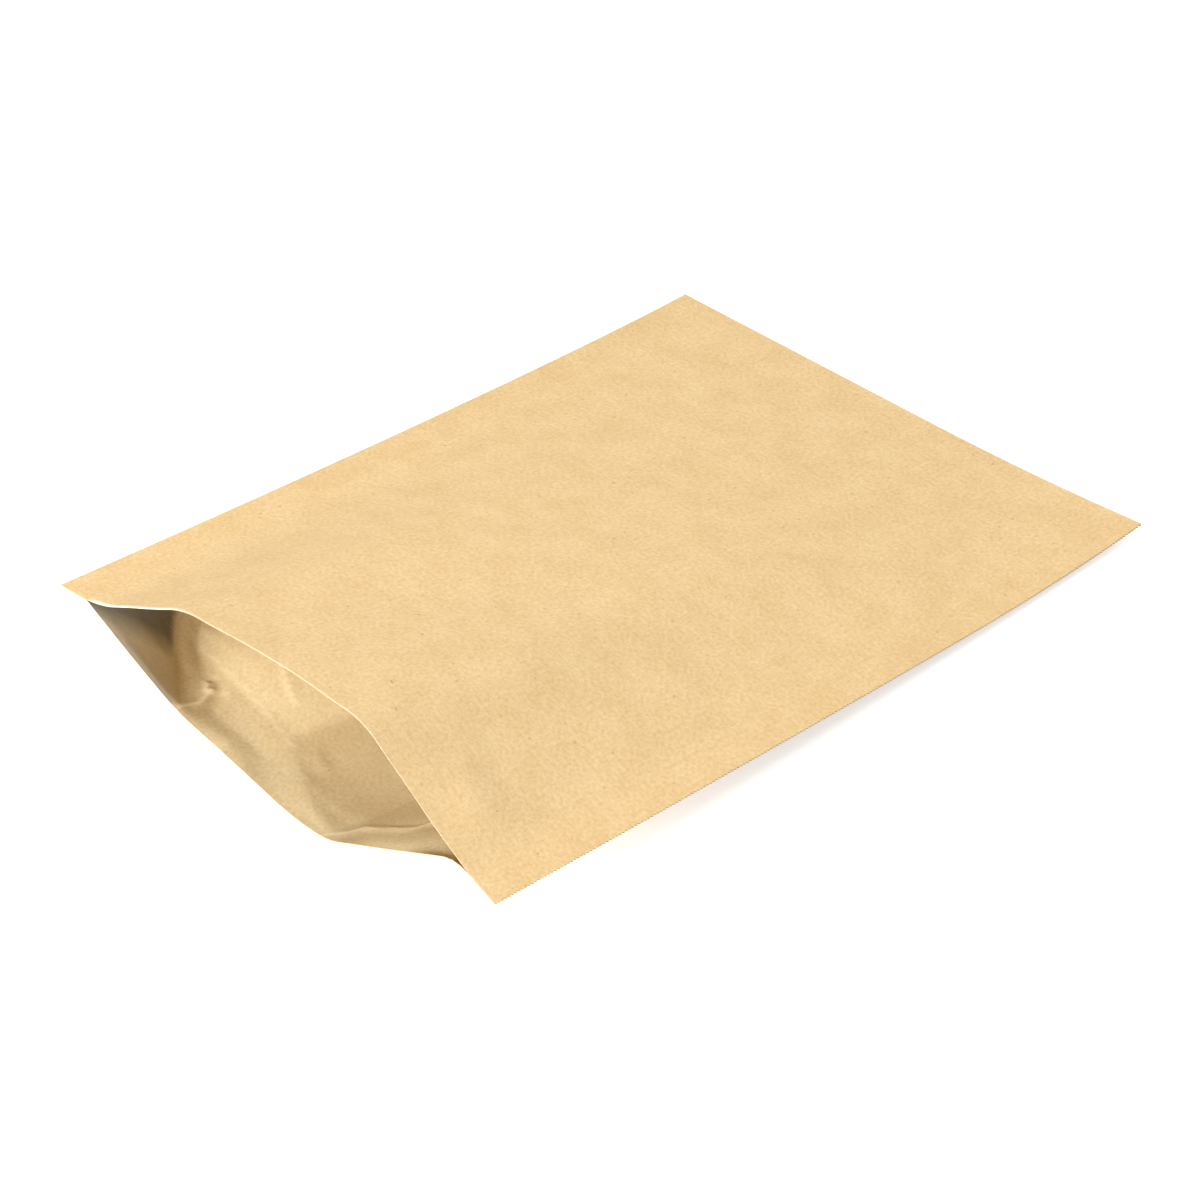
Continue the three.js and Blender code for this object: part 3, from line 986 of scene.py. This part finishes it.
def fleck_share(tree, kind, place):
    """Share of one kind of scattered round specks, each with a radius of its own."""
    label = kind.label
    cells = add_node(tree, "ShaderNodeTexVoronoi", label, {
        "Vector": place, "Scale": kind.per_metre, "Randomness": 1.0,
    }, voronoi_dimensions="2D", feature="F1")
    chances = add_node(tree, "ShaderNodeSeparateColor", label + " chances", {
        "Color": cells.outputs["Color"],
    })
    choice, size = chances.outputs["Red"], chances.outputs["Green"]
    has_fleck = calculate(tree, label + " chosen", "LESS_THAN", choice, kind.chosen)
    radius = ramp(tree, label + " radius", size, 0, 1, kind.smallest, kind.largest)
    inside = calculate(tree, label + " inside", "SUBTRACT", radius, cells.outputs["Distance"])
    soft = ramp(tree, label + " edge", inside, -kind.smallest / 2, kind.smallest / 2)
    mask = calculate(tree, label + " mask", "MULTIPLY", soft, has_fleck)
    return calculate(tree, label + " share", "MULTIPLY", mask, kind.strength)


def bark_share(tree, label, place, mark):
    """Share of one splinter of bark, which is soft round its core."""
    across, depth, turn, strength = mark
    spot = add_node(tree, "ShaderNodeMapping", label + " place", {
        "Vector": place,
        "Location": (across * MM, depth * MM, 0),
        "Rotation": (0, 0, math.radians(turn)),
        "Scale": (BARK_MARK_LENGTH, BARK_MARK_WIDTH, BARK_MARK_LENGTH),
    }, vector_type="TEXTURE")
    gap = add_node(tree, "ShaderNodeVectorMath", label + " gap", {
        0: spot.outputs[0],
    }, operation="LENGTH")
    return ramp(tree, label + " share", gap.outputs["Value"], 1.0, BARK_MARK_CORE, 0.0, strength)


def pale_band_lip_share(tree, across, along, grain, border):
    """Share of the pale band along the upper lip, which is widest and palest on the left."""
    ragged = ramp(tree, "Ragged", grain, GRAIN.plain, GRAIN.full, -PALE_LIP_RAGGED, PALE_LIP_RAGGED)
    from_lip = calculate(tree, "Ragged lip", "ADD", along, ragged)
    band = ramp(tree, "Pale band", across, *PALE_LIP_NARROWS, PALE_LIP_LEFT, PALE_LIP_MIDDLE)
    near_lip = calculate(tree, "Lip share", "DIVIDE", from_lip, band)
    pale_band = ramp(tree, "Rubbed lip", near_lip, 1.0, PALE_LIP_FULL)
    fading = ramp(tree, "To the middle", across, *PALE_LIP_FADES, 1.0, PALE_LIP_FADED)
    starting = ramp(tree, "From the left seal", across, -border, PALE_LIP_START - border)
    ending = ramp(tree, "To the right shoulder", across, *PALE_LIP_ENDS, 1.0, PALE_LIP_LAST)
    for share in (fading, starting, ending):
        pale_band = calculate(tree, "Rubbed share", "MULTIPLY", pale_band, share)
    return pale_band


def new_material(name):
    """A material, its node tree and its shader."""
    material = bpy.data.materials.new(name)
    material.use_nodes = True
    return material, material.node_tree, material.node_tree.nodes["Principled BSDF"]


def sheet_axes(tree):
    """The place on the flat sheet, and its parts across, along and inside."""
    place = add_node(
        tree, "ShaderNodeAttribute", "Place on the sheet", attribute_name=PLACE_ATTRIBUTE
    ).outputs["Vector"]
    parts = add_node(tree, "ShaderNodeSeparateXYZ", "Sheet axes", {"Vector": place})
    return place, parts.outputs["X"], parts.outputs["Y"], parts.outputs["Z"]


def finish_paper(tree, shader, colour, height, bump_strength, specular):
    """Give a paper shader its colour, its tooth as bump, and its weak gloss."""
    bump = add_node(tree, "ShaderNodeBump", "Paper tooth", {
        "Height": height, "Strength": bump_strength, "Distance": BUMP_DISTANCE,
    })
    tree.links.new(colour, shader.inputs["Base Color"])
    tree.links.new(bump.outputs["Normal"], shader.inputs["Normal"])
    shader.inputs["Specular IOR Level"].default_value = specular


def kraft_material(finish, flat):
    """Unbleached kraft paper: clouds, grain, fibres, flecks, worn creases, a pale band along the
    upper lip and painted shade on the left cheek.
    """
    material, tree, shader = new_material("kraft_paper")
    place, across, along, inside = sheet_axes(tree)
    border = flat.width / 2 - flat.seal_width

    inner = ramp(tree, "Inner face", inside, 0, INSIDE_MARK)
    colour = mix_colour(tree, "Both faces", inner, with_alpha(finish.kraft), finish.inside)
    patterns = {kind: noise(tree, kind, place) for kind in (CLOUDS, MOTTLE, GRAIN, FINE_GRAIN)}
    for kind, turn in FIBRES:
        stretched = add_node(tree, "ShaderNodeMapping", kind.label + " stretch", {
            "Vector": place, "Rotation": (0, 0, turn), "Scale": FIBRE_SCALE,
        }, vector_type="POINT")
        patterns[kind] = noise(tree, kind, stretched.outputs[0])
    for kind, pattern in patterns.items():
        colour = shade_by_noise(tree, colour, kind, pattern, finish.grain_shade)
    from_middle = calculate(tree, "From the middle", "ABSOLUTE", across)
    sealed = ramp(tree, "Sealed strips", from_middle,
                  border - SEAL_SHADE_EDGE, border + SEAL_SHADE_EDGE, 0.0, SEAL_SHADE)
    colour = mix_colour(tree, "Seal shade", sealed, colour, finish.grain_shade, "MULTIPLY")

    shifted = calculate(tree, "Fleck shift", "MULTIPLY_ADD", inside, INSIDE_FLECK_SHIFT, across)
    fleck_place = add_node(tree, "ShaderNodeCombineXYZ", "Fleck place", {"X": shifted, "Y": along})
    for kind in FLECKS:
        share = fleck_share(tree, kind, fleck_place.outputs[0])
        colour = mix_colour(tree, kind.label, share, colour, getattr(finish, kind.tone))
    for number, mark in enumerate(BARK_MARKS, start=1):
        label = f"Bark mark {number}"
        share = bark_share(tree, label, place, mark)
        colour = mix_colour(tree, label, share, colour, finish.dark_fleck)

    # Crease wear lightens the creases; below 0 the same attribute carries the left cheek's painted
    # shade, painted greyer and then darker deep in the pocket
    worn = add_node(tree, "ShaderNodeAttribute", "Crease wear", attribute_name=WEAR_AND_SHADE_ATTRIBUTE)
    wear = worn.outputs["Fac"]
    painted_grey_share = ramp(tree, "Greyed share", wear, 0, -PAINTED_CHEEK_SHARE, 0.0, PAINTED_CHEEK_MIX)
    painted_dark_share = ramp(tree, "Dulled share", wear, -PAINTED_CHEEK_SHARE, -1)
    pale_band = pale_band_lip_share(tree, across, along, patterns[GRAIN], border)
    for label, share, tone, blend in (
        ("Worn creases", wear, finish.worn_crease, "MIX"),
        ("Grey cheek", painted_grey_share, finish.painted_cheek_tone, "MIX"),
        ("Dull cheek", painted_dark_share, finish.painted_deep_shade, "MULTIPLY"),
        ("Pale lip", pale_band, finish.pale_lip, "MIX"),
    ):
        colour = mix_colour(tree, label, share, colour, tone, blend)

    height = calculate(tree, "Paper height", "MULTIPLY_ADD",
                       patterns[FINE_GRAIN], FINE_BUMP_SHARE, patterns[GRAIN])
    roughness = ramp(tree, "Roughness", patterns[GRAIN], GRAIN.plain, GRAIN.full, *PAPER_ROUGHNESS)
    tree.links.new(roughness, shader.inputs["Roughness"])
    finish_paper(tree, shader, colour, height, PAPER_BUMP, PAPER_SPECULAR)
    return material


def cut_edge_material(finish):
    """The raw edge of the cut paper, paler at the upper lip's left."""
    material, tree, shader = new_material("cut_edge")
    _, across, along, _ = sheet_axes(tree)
    on_upper_lip = calculate(tree, "On the upper lip", "LESS_THAN", along, PALE_CUT_DEPTH)
    pale = ramp(tree, "Paler to the left", across, *PALE_LIP_FADES, PALE_CUT_LEFT, PALE_CUT_RIGHT)
    pale = calculate(tree, "Pale share", "MULTIPLY", on_upper_lip, pale)
    colour = mix_colour(tree, "Edge colour", pale, with_alpha(finish.cut_edge), finish.pale_lip)
    place = add_node(tree, "ShaderNodeTexCoord", "Place").outputs["Object"]
    fuzz = noise(tree, EDGE_FUZZ, place)
    colour = shade_by_noise(tree, colour, EDGE_FUZZ, fuzz, finish.grain_shade)
    shader.inputs["Roughness"].default_value = EDGE_ROUGHNESS
    finish_paper(tree, shader, colour, fuzz, EDGE_BUMP, EDGE_SPECULAR)
    return material


class MAILERBAG_OT_fold_bag(bpy.types.Operator):
    """Fold the paper bag with its open mouth, pleats and pinked edge"""

    bl_idname = "mailer_bag.fold_bag"
    bl_label = "Fold the paper bag"

    def execute(self, context):
        scene = context.scene
        flat, finish = scene.mailer_bag_flat, scene.mailer_bag_finish
        kraft = kraft_material(finish, flat)
        bag = bpy.data.objects.new("paper_mailer_bag", fold_bag_mesh(flat, scene.mailer_bag_mouth))
        scene.collection.objects.link(bag)
        bag.data.materials.append(kraft)
        bag.data.materials.append(cut_edge_material(finish))
        tooth_sizes = {"Tooth depth": flat.tooth_depth, "Tooth tip": flat.tooth_tip}
        bake_nodes(bag, pinked_edge_tree(kraft), tooth_sizes)
        bag.data.shade_smooth()
        bag.data.set_sharp_from_angle(angle=SHARP_ANGLE)
        if bag.data.validate():
            raise RuntimeError("the folded bag's mesh has broken faces")
        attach(bag, BAG_BODY)
        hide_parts(BAG_NODE)
        return {"FINISHED"}


def seen_rays(tree):
    """1 for the rays that show the white ground, seen, mirrored or through glass, or else 0."""
    path = add_node(tree, "ShaderNodeLightPath", "Ray kind")
    seen = path.outputs["Is Camera Ray"]
    for other in ("Is Glossy Ray", "Is Transmission Ray"):
        seen = calculate(tree, "Or " + other, "MAXIMUM", seen, path.outputs[other])
    return seen


def white_floor(settings):
    """A wide white table top that keeps the bag's shadow."""
    mesh = bpy.data.meshes.new("table_top")
    corners = [(-1, -1), (1, -1), (1, 1), (-1, 1)]
    points = [(x * FLOOR_HALF, y * FLOOR_HALF, -FLOOR_DROP) for x, y in corners]
    mesh.from_pydata(points, [], [(0, 1, 2, 3)])
    material, tree, shader = new_material("white_table")
    shader.inputs["Base Color"].default_value = with_alpha(settings.floor)
    shader.inputs["Roughness"].default_value = FLOOR_ROUGHNESS
    shader.inputs["Specular IOR Level"].default_value = 0.0
    place = add_node(tree, "ShaderNodeTexCoord", "Place").outputs["Object"]
    gap = add_node(tree, "ShaderNodeVectorMath", "From the bag", {0: place}, operation="LENGTH")
    lift = ramp(tree, "Lift", gap.outputs["Value"], *FLOOR_LIFT_REACH, *FLOOR_LIFT, smooth=True)
    strength = calculate(tree, "Ground lift", "MULTIPLY", seen_rays(tree), lift)
    glow = add_node(tree, "ShaderNodeEmission", "White ground", {
        "Color": WHITE, "Strength": strength,
    })
    both = add_node(tree, "ShaderNodeAddShader", "Lit ground", {
        0: shader.outputs[0], 1: glow.outputs[0],
    })
    tree.links.new(both.outputs[0], tree.nodes["Material Output"].inputs["Surface"])
    mesh.materials.append(material)
    return bpy.data.objects.new("table_top", mesh)


def studio_world(settings):
    """Even light from all round, with a white backdrop."""
    world = bpy.data.worlds.new("studio")
    world.use_nodes = True
    tree = world.node_tree
    background = tree.nodes["Background"]
    background.inputs["Color"].default_value = WHITE
    strength = ramp(tree, "Strength", seen_rays(tree), 0, 1, settings.ambient, 1.0)
    tree.links.new(strength, background.inputs["Strength"])
    return world


def hang_softbox(softbox, power):
    """A soft square lamp, turned to the point that it faces."""
    lamp = bpy.data.lights.new(softbox.name, "AREA")
    lamp.shape = "SQUARE"
    lamp.size = softbox.side
    lamp.energy = power
    piece = bpy.data.objects.new(softbox.name, lamp)
    piece.location = softbox.place
    away = Vector(softbox.place) - Vector(softbox.aim)
    piece.rotation_euler = away.to_track_quat("Z", "Y").to_euler()
    piece.visible_camera = False
    return piece


def photo_camera(settings):
    """The camera, turned to the point it looks at."""
    camera = bpy.data.cameras.new("camera")
    camera.lens = settings.focal_length
    camera.sensor_width = SENSOR_WIDTH
    piece = bpy.data.objects.new("camera", camera)
    level = math.cos(settings.elevation)
    away = Vector((
        math.sin(settings.azimuth) * level,
        -math.cos(settings.azimuth) * level,
        math.sin(settings.elevation),
    ))
    piece.location = AIM_POINT + away * settings.distance
    piece.rotation_euler = away.to_track_quat("Z", "Y").to_euler()
    return piece


class MAILERBAG_OT_set_stage(bpy.types.Operator):
    """Set the white table, the soft studio light and the camera"""

    bl_idname = "mailer_bag.set_stage"
    bl_label = "Set the stage"

    def execute(self, context):
        scene = context.scene
        settings = scene.mailer_bag_stage
        floor = white_floor(settings)
        camera = photo_camera(settings)
        lamps = [hang_softbox(softbox, getattr(settings, softbox.power)) for softbox in SOFTBOXES]
        for piece in (floor, camera, *lamps):
            scene.collection.objects.link(piece)
        scene.camera = camera
        scene.world = studio_world(settings)
        scene.view_settings.view_transform = "Standard"
        return {"FINISHED"}


class MAILERBAG_PT_panel(bpy.types.Panel):
    """The bag's sizes and the steps that make it"""

    bl_idname = "MAILERBAG_PT_panel"
    bl_label = "Mailer bag"
    bl_space_type = "VIEW_3D"
    bl_region_type = "UI"
    bl_category = "Mailer bag"

    def draw(self, context):
        scene = context.scene
        for group in (
            scene.mailer_bag_flat, scene.mailer_bag_mouth,
            scene.mailer_bag_finish, scene.mailer_bag_stage,
        ):
            box = self.layout.box()
            for name in group.__annotations__:
                box.prop(group, name)
        self.layout.operator(MAILERBAG_OT_fold_bag.bl_idname)
        self.layout.operator(MAILERBAG_OT_set_stage.bl_idname)


CLASSES = (
    FlatBagSizes,
    OpenMouthSizes,
    PaperFinish,
    StageSettings,
    MAILERBAG_OT_fold_bag,
    MAILERBAG_OT_set_stage,
    MAILERBAG_PT_panel,
)


def register():
    for kind in CLASSES:
        bpy.utils.register_class(kind)
    bpy.types.Scene.mailer_bag_flat = PointerProperty(type=FlatBagSizes)
    bpy.types.Scene.mailer_bag_mouth = PointerProperty(type=OpenMouthSizes)
    bpy.types.Scene.mailer_bag_finish = PointerProperty(type=PaperFinish)
    bpy.types.Scene.mailer_bag_stage = PointerProperty(type=StageSettings)


def unregister():
    del bpy.types.Scene.mailer_bag_flat
    del bpy.types.Scene.mailer_bag_mouth
    del bpy.types.Scene.mailer_bag_finish
    del bpy.types.Scene.mailer_bag_stage
    for kind in reversed(CLASSES):
        bpy.utils.unregister_class(kind)


def main():
    register()
    bpy.ops.mailer_bag.fold_bag()
    bpy.ops.mailer_bag.set_stage()


if __name__ == "__main__":
    main()
